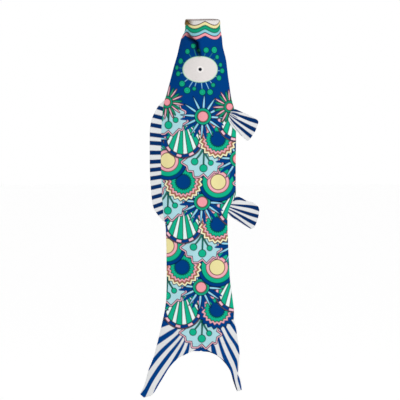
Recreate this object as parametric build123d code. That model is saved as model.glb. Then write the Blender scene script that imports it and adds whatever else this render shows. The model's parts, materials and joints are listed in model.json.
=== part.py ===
from build123d import *

import os
from math import atan, sin

# Carp streamer: a cloth tube cut to the outline of a carp, hanging from the hoop in its mouth.
#
# Frame: the origin is the centre of the mouth hoop and +Z is up. The front print faces -Y.
# The fish's back, with the dorsal fin, is on the -X side, and its belly on the +X side.
# The tube is cut at its flex lines. Each cut leaves a gap as high as a bent tube needs there.

# ---- driving dimensions, mm ----

CLOTH = 0.5               # one ply of printed cloth
SEAM = 1.0                # a folded side seam, from its front face to its back face
SEAM_WIDTH = 6.0

HOOP_RADIUS = 43.5        # to the middle of the wire
WIRE_RADIUS = 1.5
HOOP_GAP = 1.0            # between the wire's two ends, in degrees of the hoop
FERRULE_RADIUS = 2.2
FERRULE_ANGLE = 18.0      # degrees of the hoop that the ferrule covers

HEM_RADIUS = 3.0          # of the rolled edge, round the wire
ROLL_ANGLE = 225          # degrees of the wire that the roll covers
HEM_NECK = -4.6           # height where the two legs of the hem come together
HEM_BOTTOM = -11.5
HEM_SLOT = 0.3            # between the two legs
THREAD = 0.4

EYELET_HEIGHT = -7.8
EYELET_BORE = 1.5         # radius
EYELET_BARREL = 1.9       # radius
EYELET_FLANGE = 2.9       # radius
FLANGE_THICKNESS = 0.4
EYELET_STANDOFF = 0.15    # a flat flange on the curved hem

# The tube down its length: height, left edge, right edge and how deep each side bulges.
TUBE = [
    (-12, -47.6, 46.9, 45.3),
    (-34, -50.7, 48.8, 44),
    (-98, -66.3, 58.6, 35),
    (-158, -84.2, 68.1, 23),
    (-211, -100.3, 77.4, 17),
    (-230, -103, 83.2, 16),
    (-290, -108.2, 88.4, 15),
    (-370, -110.1, 88.4, 14),
    (-462, -107.4, 88.4, 12.7),
    (-509, -104.2, 67.5, 11.7),
    (-541, -97.7, 66.3, 11),
    (-686, -93.7, 71.3, 8.5),
    (-768, -96.9, 80.5, 7.5),
    (-787, -102.2, 81.5, 7),
    (-876, -124, 96.4, 5.5),
    (-1004, -173, 107, 1.2),
]

# Flex lines across the tube: their height, and half of the gap there.
SHOULDER, SHOULDER_GAP = -180, 7
WAIST, WAIST_GAP = -581, 5
TAIL, TAIL_GAP = -787, 4
LOBE, LOBE_GAP = -880, 4

FIN_PLY_GAP = 0.1         # between the two plies of a fin
FIN_ROOT_WIDTH = 4.0
FIN_ROOT_THICKNESS = 1.8
FIN_CLEARANCE = 1.5       # from a fin's root to its hinge line, and from there to the body's edge
DORSAL_HINGE = -111.6     # the dorsal fin's hinge line is vertical, just outside the widest trunk
PECTORAL_PLANE = -7.2     # the pectoral fin is sewn on the front of the trunk

RIGHT_EDGE = 1
LEFT_EDGE = -1
FRONT = -1
BACK = 1


# ---- the tube ----

def tube_at(height):
    """Left edge, right edge and depth of the tube at a height, between the listed stations."""
    for (top, *upper), (bottom, *lower) in zip(TUBE, TUBE[1:]):
        if bottom <= height <= top:
            share = (top - height) / (top - bottom)
            return [a + share * (b - a) for a, b in zip(upper, lower)]
    raise ValueError(f"the tube has no section at {height}")


def stations(top, bottom):
    """The heights of a stretch of tube: its two ends and the listed stations between them."""
    return [top] + [row[0] for row in TUBE if bottom < row[0] < top] + [bottom]


def panel_section(height, side):
    """One side of the tube at a height: an arc of cloth from seam to seam."""
    left, right, depth = tube_at(height)
    middle = (left + right) / 2
    half = (right - left) / 2
    seam = side * SEAM / 2
    # the cloth meets the seam at the arc's end angle, so its inner face starts further in
    inset = CLOTH / sin(2 * atan(depth / half))
    outer = ThreePointArc((left, seam), (middle, seam + side * depth), (right, seam))
    inner = ThreePointArc(
        (left + inset, seam),
        (middle, seam + side * (depth - CLOTH)),
        (right - inset, seam),
    )
    ends = [Line(outer @ 0, inner @ 0), Line(outer @ 1, inner @ 1)]
    return Plane.XY.offset(height) * make_face([outer, inner] + ends)


def tube_panel(top, bottom, side):
    return loft([panel_section(height, side) for height in stations(top, bottom)], ruled=True)


def flat(outline, near, far):
    """A flat piece with the given outline in X and Z, between two values of Y."""
    return extrude(Plane.XZ.offset(-far) * outline, amount=far - near)


def side_seam(top, bottom, edge):
    """The folded seam inside one edge of the tube, where the front and back panels are sewn."""
    column = 0 if edge == LEFT_EDGE else 1
    outer = [(tube_at(height)[column], height) for height in stations(top, bottom)]
    inner = [(x - edge * SEAM_WIDTH, z) for x, z in reversed(outer)]
    return flat(make_face(Polyline(*outer, *inner, close=True)), -SEAM / 2, SEAM / 2)


def tube_stretch(name, top, bottom):
    """The two panels and two side seams of one stretch of the tube."""
    return {
        f"front_{name}_panel": tube_panel(top, bottom, FRONT),
        f"back_{name}_panel": tube_panel(top, bottom, BACK),
        f"dorsal_{name}_seam": side_seam(top, bottom, LEFT_EDGE),
        f"belly_{name}_seam": side_seam(top, bottom, RIGHT_EDGE),
    }


# ---- the mouth ----

HEM_OUTSIDE = HOOP_RADIUS + HEM_RADIUS
HEM_INSIDE = HEM_OUTSIDE - 2 * CLOTH - HEM_SLOT
EYELET_OUTER_FACE = HEM_OUTSIDE + EYELET_STANDOFF
EYELET_INNER_FACE = HEM_INSIDE - EYELET_STANDOFF


def ring(profile, angle=360.0, start=0.0):
    """A profile drawn in radius and height, turned about the hoop's axis."""
    return revolve(Plane.XZ.rotated((0, 0, start)) * profile, Axis.Z, revolution_arc=angle)


def mouth_hoop():
    wire = Pos(HOOP_RADIUS, 0) * Circle(WIRE_RADIUS)
    return ring(wire, 360 - HOOP_GAP, 90 + HOOP_GAP / 2)


def hoop_ferrule():
    wall = Pos(HOOP_RADIUS, 0) * (Circle(FERRULE_RADIUS) - Circle(WIRE_RADIUS))
    return ring(wall, FERRULE_ANGLE, 90 - FERRULE_ANGLE / 2)


def hem_outline(inset):
    """The hem's profile, drawn in by a distance: a roll round the wire, then two legs that meet."""
    radius = HEM_RADIUS - inset
    outside = HEM_OUTSIDE - inset
    inside = HEM_INSIDE + inset
    roll = CenterArc((HOOP_RADIUS, 0), radius, 0, ROLL_ANGLE)
    legs = Polyline(
        roll @ 1,
        (inside, HEM_NECK + inset / 2),
        (inside, HEM_BOTTOM),
        (outside, HEM_BOTTOM),
        roll @ 0,
    )
    return make_face([roll, legs])


def mouth_hem():
    profile = hem_outline(0) - hem_outline(CLOTH)
    hole = Pos(0, 0, EYELET_HEIGHT) * Rot(0, 90, 0) * Cylinder(EYELET_BARREL, 3 * HOOP_RADIUS)
    return ring(profile) - hole


def hem_thread():
    section = Pos(HEM_OUTSIDE + THREAD / 2, HEM_BOTTOM + THREAD) * Rectangle(THREAD, THREAD)
    return ring(section)


def disc(radius, start, end, edge):
    """A round piece along X on one edge of the mouth, between two distances from the axis."""
    middle = edge * (start + end) / 2
    return Pos(middle, 0, EYELET_HEIGHT) * Rot(0, 90, 0) * Cylinder(radius, end - start)


def eyelet(edge):
    inner_end = EYELET_INNER_FACE - FLANGE_THICKNESS
    outer_end = EYELET_OUTER_FACE + FLANGE_THICKNESS
    barrel = disc(EYELET_BARREL, inner_end, outer_end, edge)
    flange = disc(EYELET_FLANGE, EYELET_OUTER_FACE, outer_end, edge)
    return barrel + flange - disc(EYELET_BORE, inner_end, outer_end, edge)


def eyelet_washer(edge):
    inner_end = EYELET_INNER_FACE - FLANGE_THICKNESS
    whole = disc(EYELET_FLANGE, inner_end, EYELET_INNER_FACE, edge)
    return whole - disc(EYELET_BARREL, inner_end, EYELET_INNER_FACE, edge)


# ---- the tail's two lobes ----

LOBE_TOP = LOBE - LOBE_GAP
LEFT_LOBE_OUTER = [(-126.4, LOBE_TOP), (-142.6, -926), (-152.3, -962), (-166, -985)]
LEFT_LOBE_INNER = [(-49, LOBE_TOP), (-66, -894), (-87.4, -917), (-111.4, -956), (-131.2, -988)]
LEFT_LOBE_TIP = (-155.5, -997.5)
RIGHT_LOBE_OUTER = [(97.4, LOBE_TOP), (94, -926), (98.7, -955), (101.9, -978)]
RIGHT_LOBE_INNER = [(38, LOBE_TOP), (57.8, -903), (73.1, -926), (80.8, -952), (91.3, -978)]
RIGHT_LOBE_TIP = (96.6, -981)


def lobe(name, outer, tip, inner, edge):
    """The front and back ply of a lobe and the seam down its outer edge; the inner edge is open."""
    outer_edge = Spline(*outer)
    end = Polyline(outer[-1], tip, inner[-1])
    inner_edge = Spline(*inner)
    outline = make_face([outer_edge, end, inner_edge, Line(outer[0], inner[0])])
    blank = flat(outline, -2 * HEM_RADIUS, 2 * HEM_RADIUS)
    bottom = TUBE[-1][0]
    strip_side = Spline(*[(x - edge * SEAM_WIDTH, z) for x, z in outer])
    strip_ends = [Line(outer_edge @ 0, strip_side @ 0), Line(outer_edge @ 1, strip_side @ 1)]
    strip = make_face([outer_edge, strip_side] + strip_ends)
    return {
        f"{name}_front": tube_panel(LOBE_TOP, bottom, FRONT) & blank,
        f"{name}_back": tube_panel(LOBE_TOP, bottom, BACK) & blank,
        f"{name}_seam": flat(strip & outline, -SEAM / 2, SEAM / 2),
    }


# ---- the fins ----

DORSAL_ROOT = DORSAL_HINGE - FIN_CLEARANCE
DORSAL_TOP = (DORSAL_ROOT, -224)
DORSAL_BOTTOM = (DORSAL_ROOT, -514)
DORSAL_EDGE = [DORSAL_TOP, (-129.1, -255), (-137.5, -304), (-137.5, -396), (-133.3, -460),
               (-127, -497), DORSAL_BOTTOM]

PECTORAL_TOP = (81, -234)
PECTORAL_BOTTOM = (69, -262)
PECTORAL_UPPER = [PECTORAL_TOP, (124.3, -251), (142, -261)]
PECTORAL_OUTER = [(142, -261), (145, -270), (139.7, -289), (129.1, -307), (118.5, -317.6)]
PECTORAL_LOWER = [(118.5, -317.6), (98.5, -303), PECTORAL_BOTTOM]

# the pelvic fin's root runs along the slanting belly edge, this far outside it
PELVIC_ROOT_OFFSET = Vector(0.914, -0.406) * (2 * FIN_CLEARANCE)
PELVIC_TOP = Vector(88.4, -462) + PELVIC_ROOT_OFFSET
PELVIC_BOTTOM = Vector(67.5, -509) + PELVIC_ROOT_OFFSET
PELVIC_UPPER = [PELVIC_TOP, (112.2, -474), (134.1, -483), (144.1, -488)]
PELVIC_OUTER = [(144.1, -488), (149.2, -498), (148.4, -514), (142.6, -532), (129.1, -549)]
PELVIC_LOWER = [(129.1, -549), (104.5, -536), (83.4, -524), PELVIC_BOTTOM]


def fin(name, plane, top, bottom, *edges):
    """Two plies and a folded root hem. The plies lie each side of a plane of constant Y."""
    root = Line(bottom, top)
    outline = make_face([root] + [Spline(*points) for points in edges])
    along_root = Plane(origin=root @ 0.5, x_dir=root % 0.5, z_dir=(0, 0, 1))
    band = along_root * Rectangle(2 * root.length, 2 * FIN_ROOT_WIDTH)
    ply = outline - band
    inner = FIN_PLY_GAP / 2
    half_root = FIN_ROOT_THICKNESS / 2
    return {
        f"{name}_front": flat(ply, plane - inner - CLOTH, plane - inner),
        f"{name}_back": flat(ply, plane + inner, plane + inner + CLOTH),
        f"{name}_root_hem": flat(outline & band, plane - half_root, plane + half_root),
    }


# ---- every piece, by name ----

pieces = {
    "mouth_hoop": mouth_hoop(),
    "hoop_ferrule": hoop_ferrule(),
    "mouth_hem": mouth_hem(),
    "hem_thread": hem_thread(),
    "left_eyelet": eyelet(LEFT_EDGE),
    "right_eyelet": eyelet(RIGHT_EDGE),
    "left_eyelet_washer": eyelet_washer(LEFT_EDGE),
    "right_eyelet_washer": eyelet_washer(RIGHT_EDGE),
}
pieces |= tube_stretch("head", TUBE[0][0], SHOULDER + SHOULDER_GAP)
pieces |= tube_stretch("trunk", SHOULDER - SHOULDER_GAP, WAIST + WAIST_GAP)
pieces |= tube_stretch("rear", WAIST - WAIST_GAP, TAIL + TAIL_GAP)
pieces |= tube_stretch("tail", TAIL - TAIL_GAP, LOBE + LOBE_GAP)
pieces |= lobe("left_lobe", LEFT_LOBE_OUTER, LEFT_LOBE_TIP, LEFT_LOBE_INNER, LEFT_EDGE)
pieces |= lobe("right_lobe", RIGHT_LOBE_OUTER, RIGHT_LOBE_TIP, RIGHT_LOBE_INNER, RIGHT_EDGE)
pieces |= fin("dorsal_fin", 0, DORSAL_TOP, DORSAL_BOTTOM, DORSAL_EDGE)
pieces |= fin("pectoral_fin", PECTORAL_PLANE, PECTORAL_TOP, PECTORAL_BOTTOM,
              PECTORAL_UPPER, PECTORAL_OUTER, PECTORAL_LOWER)
pieces |= fin("pelvic_fin", 0, PELVIC_TOP, PELVIC_BOTTOM,
              PELVIC_UPPER, PELVIC_OUTER, PELVIC_LOWER)

os.makedirs("parts", exist_ok=True)
for node, shape in pieces.items():
    export_step(shape, f"parts/{node}.step")
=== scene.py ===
import json
from math import cos, pi, radians, sin

import bpy
import numpy as np
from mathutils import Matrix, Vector


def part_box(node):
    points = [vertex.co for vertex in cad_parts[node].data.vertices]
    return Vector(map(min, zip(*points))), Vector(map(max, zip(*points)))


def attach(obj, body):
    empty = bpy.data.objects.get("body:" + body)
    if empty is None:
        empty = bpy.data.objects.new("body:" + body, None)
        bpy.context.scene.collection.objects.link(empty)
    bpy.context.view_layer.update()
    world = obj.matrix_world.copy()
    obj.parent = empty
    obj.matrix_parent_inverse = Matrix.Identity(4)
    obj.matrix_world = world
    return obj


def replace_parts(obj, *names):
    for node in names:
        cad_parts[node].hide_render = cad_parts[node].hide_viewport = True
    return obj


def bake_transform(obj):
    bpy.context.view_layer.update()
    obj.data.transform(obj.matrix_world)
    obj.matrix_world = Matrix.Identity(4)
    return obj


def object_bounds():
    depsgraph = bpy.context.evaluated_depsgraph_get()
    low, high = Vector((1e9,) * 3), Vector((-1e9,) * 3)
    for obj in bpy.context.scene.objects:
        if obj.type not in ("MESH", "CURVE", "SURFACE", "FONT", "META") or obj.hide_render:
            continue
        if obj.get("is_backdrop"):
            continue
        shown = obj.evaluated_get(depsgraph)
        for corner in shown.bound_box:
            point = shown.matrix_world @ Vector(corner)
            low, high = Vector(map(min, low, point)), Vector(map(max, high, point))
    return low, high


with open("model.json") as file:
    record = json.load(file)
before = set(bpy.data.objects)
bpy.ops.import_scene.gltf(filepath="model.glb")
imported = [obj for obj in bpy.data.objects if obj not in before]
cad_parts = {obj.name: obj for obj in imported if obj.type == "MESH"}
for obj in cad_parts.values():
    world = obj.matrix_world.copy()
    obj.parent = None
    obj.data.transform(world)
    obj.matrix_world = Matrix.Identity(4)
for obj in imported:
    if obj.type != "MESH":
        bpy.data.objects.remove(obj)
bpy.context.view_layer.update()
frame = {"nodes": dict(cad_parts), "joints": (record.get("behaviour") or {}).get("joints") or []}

# The looks of a carp streamer. Lengths are in millimetres until they reach Blender, and a place
# on the hanging streamer is (x, down): x to the belly's side, and down below the mouth's hoop.

MM = 0.001
FRONT, BACK = -1, 1
LEFT, RIGHT = 0, 1

# ---- where things are, from the frame ----


def node_middle(name):
    low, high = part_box(name)
    return [(a + b) / 2 / MM for a, b in zip(low, high)]


def node_size(name):
    low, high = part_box(name)
    return [(b - a) / MM for a, b in zip(low, high)]


def hinge(name):
    joint = next(j for j in frame["joints"] if j["name"] == name)
    return np.array(joint["pos_m"]) / MM, np.array(joint["axis"])


HEM_RADIUS = node_size("mouth_hem")[0] / 2
HOOP_RADIUS = (node_size("mouth_hoop")[1] - node_size("mouth_hoop")[2]) / 2
HEM_BOTTOM = -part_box("mouth_hem")[0][2] / MM
EYELET_DOWN = -node_middle("left_eyelet")[2]
EYELET_HOLE = 2.0
FLEX = {name: -hinge(name)[0][2] for name in ("shoulder_flex", "waist_flex", "tail_flex")}
LOBE_FLEX = -hinge("left_lobe_flap")[0][2]

CLOTH = 0.35              # thickness of one printed ply
SEAM_HALF = 0.5           # the front and the back panel are this far from the middle at a seam

# ---- the cut of the cloth ----

# The tube: how far down, left edge, right edge, and how far each side bulges.
STATIONS = np.array([
    (0, -46.2, 46.2, 46.2),
    (12, -46.2, 46.2, 45.6),
    (26, -45, 47.5, 44.5),
    (36, -50, 49.5, 44),
    (46, -56, 51.5, 43),
    (69, -61.5, 53, 40),
    (90, -66, 59, 37),
    (105, -70.5, 62.5, 34),
    (118, -74.5, 64, 31),
    (145, -81.5, 67, 26),
    (172, -88.5, 71, 21),
    (198, -95.5, 74.5, 18),
    (214, -101.5, 78, 17),
    (232, -104.5, 83.5, 16),
    (262, -107, 87.5, 15.5),
    (300, -109, 88.5, 15),
    (370, -110, 87.5, 14),
    (425, -109, 87.5, 13.3),
    (462, -107, 88, 12.8),
    (478, -106, 78.5, 12.5),
    (490, -105, 72.5, 12.2),
    (509, -104, 66.5, 11.7),
    (524, -101, 66, 11.5),
    (545, -97, 66, 11),
    (600, -95, 68, 9.8),
    (640, -95, 70, 9.1),
    (686, -94.5, 72.5, 8.5),
    (712, -95, 76, 8.2),
    (739, -96, 80, 8),
    (768, -100, 83.5, 7.5),
    (787, -104, 82, 7),
    (818, -111, 89.6, 6.5),
    (858, -120.6, 95.2, 6),
    (876, -124, 96.4, 5.5),
    (1004, -173, 107, 1.2),
])
ROUNDING = 8              # how far the outline's corners are smoothed, up and down

PANEL_TOP = 11
CUTS = (343, 686, 853)    # the long panels are cut here, each cut within one body
ARCH_X = -4
ARCH_TOP = 872

LEFT_LOBE_OUTER = [(-119.4, 853), (-127.4, 884), (-135.6, 906), (-143.6, 926), (-153.3, 962),
                   (-162, 981), (-166, 987)]
LEFT_LOBE_INNER = [(ARCH_X, 853), (ARCH_X, ARCH_TOP), (-24.5, 873), (-34.3, 877), (-49, 884),
                   (-66, 894), (-87.4, 917), (-111.4, 956), (-131.2, 988), (-143, 994), (-155, 997)]
RIGHT_LOBE_OUTER = [(94.6, 853), (97.9, 878), (96.8, 902), (96.2, 920), (94.6, 936), (99.6, 948),
                    (102.2, 962), (104.4, 977)]
RIGHT_LOBE_INNER = [(ARCH_X, 853), (ARCH_X, ARCH_TOP), (16.9, 876), (38.3, 885), (57.8, 903),
                    (73.1, 926), (80.8, 952), (86.9, 970), (91.3, 979), (96, 980)]

DORSAL_OUTER = [(-102.5, 211), (-109.5, 218.5), (-118.5, 229), (-130.6, 252), (-136.4, 272),
                (-138.9, 300), (-138.9, 350), (-138.5, 396), (-137.2, 425), (-134.4, 462),
                (-129.6, 492), (-119, 511), (-101.4, 531)]
PECTORAL_UPPER = [(75, 237.9), (85, 233), (98.5, 238.2), (117.5, 246.6), (137.5, 257.4),
                  (145, 262.6), (147, 268), (143.6, 278)]
PECTORAL_LOWER = [(75, 237.9), (70, 252), (68.1, 259.5), (69.4, 264.8), (79, 281), (92, 294.6),
                  (108, 309), (117.5, 316.6), (121.4, 316)]
PECTORAL_END = [(143.6, 278), (139.8, 289), (132.8, 301), (125, 312), (121.4, 316)]
PELVIC_UPPER = [(80, 470), (92, 464), (102.5, 467.5), (115, 474.5), (132.5, 480.5),
                (144.5, 488), (148.5, 494.5)]
PELVIC_LOWER = [(80, 470), (70, 487), (64, 499), (65, 507), (77, 520), (98.5, 533.5),
                (125.5, 549), (130, 549.5)]
PELVIC_END = [(148.5, 494.5), (149.5, 503), (145.5, 524.5), (137, 544), (130, 549.5)]


def outline(down):
    """Left edge, right edge and bulge of the tube, with the corners between stations rounded."""
    spread = np.linspace(-ROUNDING, ROUNDING, 9)
    heights = np.clip(np.asarray(down, float)[..., None] + spread, 0, None)
    return [np.interp(heights, STATIONS[:, 0], STATIONS[:, k]).mean(axis=-1) for k in (1, 2, 3)]


def arc(down):
    """The tube's section at a height, as one arc for each side: middle, radius and half angle."""
    left, right, bulge = outline(down)
    half = (right - left) / 2
    radius = (half ** 2 + bulge ** 2) / (2 * bulge)
    return (left + right) / 2, radius, 2 * np.arctan(bulge / half)


def on_cloth(x, down):
    """The cloth's own x, measured along the cloth, of a point seen at x from the front."""
    middle, radius, _ = arc(down)
    return middle + radius * np.arcsin(np.clip((x - middle) / radius, -1, 1))


def curve(points, count):
    """A smooth line through the points, sampled evenly."""
    p = np.array(points, float)
    p = np.vstack([2 * p[0] - p[1], p, 2 * p[-1] - p[-2]])
    t = np.linspace(0, 1, 20, endpoint=False)[:, None]
    spans = [
        0.5 * (2 * b + (c - a) * t + (2 * a - 5 * b + 4 * c - d) * t ** 2
               + (3 * b - a - 3 * c + d) * t ** 3)
        for a, b, c, d in zip(p, p[1:], p[2:], p[3:])
    ]
    fine = np.vstack(spans + [p[-2:-1]])
    steps = np.linalg.norm(np.diff(fine, axis=0), axis=1)
    along = np.append(0, np.cumsum(steps))
    wanted = np.linspace(0, along[-1], count)
    return np.stack([np.interp(wanted, along, fine[:, k]) for k in range(p.shape[1])], axis=1)


# ---- the print, and the shade painted into it ----

def ink(red, green, blue):
    """A colour given as the eye sees it, 0 to 255, as linear light."""
    c = np.array([red, green, blue]) / 255
    return np.where(c < 0.04045, c / 12.92, ((c + 0.055) / 1.055) ** 2.4)


NAVY = ink(2, 62, 130)
DEEP_NAVY = ink(2, 24, 60)
FIN_NAVY = ink(6, 46, 100)
GREEN = ink(20, 178, 138)
MID_GREEN = ink(24, 146, 110)
DEEP_GREEN = ink(8, 68, 62)
STALK_GREEN = ink(48, 142, 124)
PINK = ink(244, 158, 168)
ROSE = ink(242, 174, 184)
PALE_PINK = ink(246, 190, 206)
YELLOW = ink(236, 225, 163)
CREAM = ink(250, 244, 200)
LEAF_BLUE = ink(156, 224, 216)
LEAF_LILAC = ink(188, 212, 236)
SPIKE_BLUE = ink(156, 218, 242)
BAND_BLUE = ink(142, 204, 216)
WHITE = ink(228, 224, 220)
FAN_WHITE = ink(236, 250, 248)
STRIPE_WHITE = ink(226, 227, 228)
BROWN = ink(76, 36, 42)
TAN = ink(170, 108, 84)
PUPIL = ink(6, 16, 32)
EYE_WHITE = ink(222, 217, 215)
EYE_RIM = ink(178, 222, 196)
EYE_MIDDLE = ink(236, 232, 230)
INK_EDGE = 1.1            # how soft the edge of a printed shape is
LINE = 2.0                # width of the dark lines round the printed shapes


def zigzag(angle, teeth, phase=0.0):
    """Runs from -1 to 1 and back once for each tooth round the circle."""
    turn = (np.degrees(angle) * teeth / 360 + phase) % 1
    return 4 * np.abs(turn - 0.5) - 1


def segment_distance(x, down, start, end):
    """Distance to a straight segment, and how far along it the nearest point is, 0 to 1."""
    dx, dd = end[0] - start[0], end[1] - start[1]
    t = np.clip(((x - start[0]) * dx + (down - start[1]) * dd) / (dx * dx + dd * dd), 0, 1)
    return np.hypot(x - start[0] - t * dx, down - start[1] - t * dd), t


def line_distance(x, down, line):
    """Distance to a line of (x, down, half width) points, less the line's half width there."""
    best = np.full(np.shape(x), 1e9)
    for start, end in zip(line, line[1:]):
        gap, t = segment_distance(x, down, start, end)
        best = np.minimum(best, gap - (start[2] + t * (end[2] - start[2])))
    return best


def shape_distance(x, down, corners):
    """Distance to the edge of a closed shape of (x, down) corners, negative inside it."""
    best = np.full(np.shape(x), 1e9)
    inside = np.zeros(np.shape(x), bool)
    for start, end in zip(corners, corners[1:] + corners[:1]):
        best = np.minimum(best, segment_distance(x, down, start, end)[0])
        dx, dd = end[0] - start[0], end[1] - start[1]
        if dd:
            crossing = (start[1] > down) != (end[1] > down)
            inside ^= crossing & (x < start[0] + (down - start[1]) * dx / dd)
    return np.where(inside, -best, best)


class Print:
    """The colours of a piece of cloth, laid down shape by shape."""

    def __init__(self, x, down, ground):
        self.x, self.down = x.ravel(), down.ravel()
        self.rgb = np.tile(ground, (self.x.size, 1)).astype(float)

    def lay(self, distance, colour, where=slice(None)):
        share = np.clip(0.5 - distance / INK_EDGE, 0, 1)[:, None]
        self.rgb[where] += share * (colour - self.rgb[where])

    def stroke(self, line, colour):
        line = np.array(line)
        x, down = line[:, 0], line[:, 1]
        near = (self.x > x.min() - 30) & (self.x < x.max() + 30)
        near &= (self.down > down.min() - 30) & (self.down < down.max() + 30)
        near = np.flatnonzero(near)
        if near.size:
            self.lay(line_distance(self.x[near], self.down[near], curve(line, 24)), colour, near)


class Motif:
    """The part of a print round one point, in polar form. Angles are as seen from the front."""

    def __init__(self, cloth, x, down, reach):
        near = (np.abs(cloth.x - x) < reach) & (np.abs(cloth.down - down) < reach)
        self.cloth, self.near = cloth, np.flatnonzero(near)
        self.dx = cloth.x[self.near] - x
        self.up = down - cloth.down[self.near]
        self.r = np.hypot(self.dx, self.up)
        self.angle = np.arctan2(self.up, self.dx)

    def lay(self, distance, colour, line=None):
        """Prints a shape, and the dark line along its edge if it has one."""
        if line is not None:
            self.cloth.lay(distance - LINE / 2, line, self.near)
            distance = distance + LINE / 2
        self.cloth.lay(distance, colour, self.near)

    def disc(self, radius, colour, line=None, dx=0, up=0):
        self.lay(np.hypot(self.dx - dx, self.up - up) - radius, colour, line)

    def jagged(self, radius, colour, teeth, depth, line=None):
        """A disc whose edge is a zigzag, depth in and out, with a valley straight down."""
        rise = zigzag(self.angle, teeth, phase=teeth / 4 + 0.5)
        steepness = 2 * depth * teeth / (pi * radius)
        self.lay((self.r - radius - depth * rise) / (1 + steepness ** 2) ** 0.5, colour, line)

    def petal(self, degrees, start, end, half_width, colour, line=None, point=1.0):
        """A long petal: round where it starts, and drawn to a point as far as point says."""
        a = radians(degrees)
        along = self.dx * cos(a) + self.up * sin(a)
        across = self.up * cos(a) - self.dx * sin(a)
        t = np.clip((along - start) / (end - start), 0, 1)
        width = half_width * (4 * t * (1 - t)) ** 0.5 * (1 - point * 0.6 * t)
        inside = np.maximum(np.abs(across) - width, np.maximum(start - along, along - end))
        self.lay(inside, colour, line)

    def stalk(self, path, colour, line=None):
        """A stroke given from this motif's centre, as (dx, up, half width)."""
        self.lay(line_distance(self.dx, self.up, path), colour, line)


SCALE = 52                # radius of a printed scale
ROW = 56.45               # from one row of scales to the next
COLUMN = 46.2
FIRST_ROW = 255.2
ODD_SHIFT = -4.6          # the rows between are not quite in the middle
LEAN = ((255, 311, 368, 593, 706, 818), (1.1, -1.1, 0.7, -2.3, -3.6, -3.7))
ROWS = 11
REACH = 62                # no motif of a scale is larger than this
TEETH = 20


def daisy(spot):
    for k in range(12):
        spot.petal(97 + 30 * k, 18, 60.5, 5.3, NAVY, point=0.4)
    for k in range(12):
        spot.petal(86 + 30 * k, 15, 59, 4.3, SPIKE_BLUE, DEEP_NAVY)
    spot.disc(21.9, GREEN, DEEP_NAVY)
    spot.disc(18.4, MID_GREEN)
    spot.disc(13.8, PINK, BROWN)


FAN_RADIUS = 43.2
FAN_APEX = 58             # the rays meet this far above the fan's middle
RAY, RAY_HALF = 16.3, 4.6               # degrees from ray to ray, and half of a ray's own
RAY_TURN = 4.2
DASH, DASH_HALF = 40, 8.6               # the same for the dashes in the fan's rim
DASH_START = 258


def from_nearest(angle, pitch):
    """How far an angle is from the nearest multiple of the pitch."""
    return np.abs((angle / pitch + 0.5) % 1 - 0.5) * pitch


def fan(spot):
    below_apex = FAN_APEX - spot.up
    ray = from_nearest(np.degrees(np.arctan2(spot.dx, below_apex)) + RAY_TURN, RAY) - RAY_HALF
    dash = from_nearest(np.degrees(spot.angle) - DASH_START, DASH) - DASH_HALF
    rim = np.maximum(FAN_RADIUS + 1 - spot.r, spot.r - SCALE)
    spot.disc(SCALE + 2.6, WHITE, DEEP_NAVY)
    spot.disc(SCALE + 0.6, NAVY, BROWN)
    spot.lay(np.maximum(np.radians(dash) * spot.r, rim), PALE_PINK, DEEP_NAVY)
    spot.disc(FAN_RADIUS, FAN_WHITE, BROWN)
    spot.lay(np.maximum(np.radians(ray) * below_apex, spot.r - FAN_RADIUS), GREEN, DEEP_GREEN)


def toothed(spot):
    spot.jagged(49.2, CREAM, TEETH, 3.2, DEEP_NAVY)
    spot.jagged(43.4, BROWN, TEETH, 3.0)
    spot.jagged(42.4, TAN, TEETH, 3.0)
    toothed_middle(spot)


def navy_toothed(spot):
    spot.jagged(49.2, NAVY, TEETH, 3.2, DEEP_NAVY)
    toothed_middle(spot)


def toothed_middle(spot):
    spot.jagged(38.6, BROWN, TEETH, 3.0)
    spot.jagged(37.6, ROSE, TEETH, 3.0)
    spot.jagged(31.4, GREEN, TEETH, 2.2, DEEP_GREEN)
    spot.jagged(20.0, NAVY, 24, 1.7, DEEP_GREEN)


def moon(spot):
    spot.disc(SCALE - 0.4, NAVY, DEEP_NAVY)
    spot.disc(41.9, GREEN, DEEP_GREEN)
    spot.disc(29.4, ROSE, BROWN)
    spot.disc(20.4, YELLOW, BROWN)


LEAF_EDGE = [             # dx and up from the leaf's middle, round its toothed edge
    (-53.3, -6), (-39.6, -14.3), (-37.4, -26.2), (-23.3, -27.1), (-21.6, -42.1), (-10.1, -42.3),
    (2.2, -33.3), (12.8, -44.7), (29.5, -28), (37.4, -31.1), (40.1, -16.1), (50.6, -9.9),
    (39.2, -2), (45, 14), (33, 20), (28, 36), (10, 32), (0, 44), (-10, 33), (-27, 35),
    (-34, 20), (-48, 16), (-40, 4),
]
LEAF_FRUIT = [            # dx, up and radius, then the stalk down to it
    (1.8, -21, 9.6, [(2.0, 30, 2.6), (3, 20, 1.6), (1.8, -14, 1.4)]),
    (-21.4, -3.8, 8.6, [(0.6, 28, 2.2), (-8, 14, 1.6), (-17, 3, 1.4)]),
    (21.2, -7.2, 6.6, [(3.4, 28, 2.2), (9, 12, 1.6), (17, -1, 1.4)]),
]


def leaf(spot):
    edge = shape_distance(spot.dx, spot.up, LEAF_EDGE)
    mottle = 0.5 + 0.5 * np.sin(spot.dx * 1.05) * np.sin(spot.up * 1.05 + 0.8)
    ground = LEAF_BLUE + (LEAF_LILAC - LEAF_BLUE) * mottle[:, None]
    spot.lay(edge - 5.2, PALE_PINK, DEEP_NAVY)
    spot.lay(edge - 1.0, ground, BROWN)
    for dx, up, radius, stalk in LEAF_FRUIT:
        spot.stalk(stalk, STALK_GREEN, DEEP_GREEN)
        spot.disc(radius + 0.4, GREEN, DEEP_GREEN, dx, up)


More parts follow.
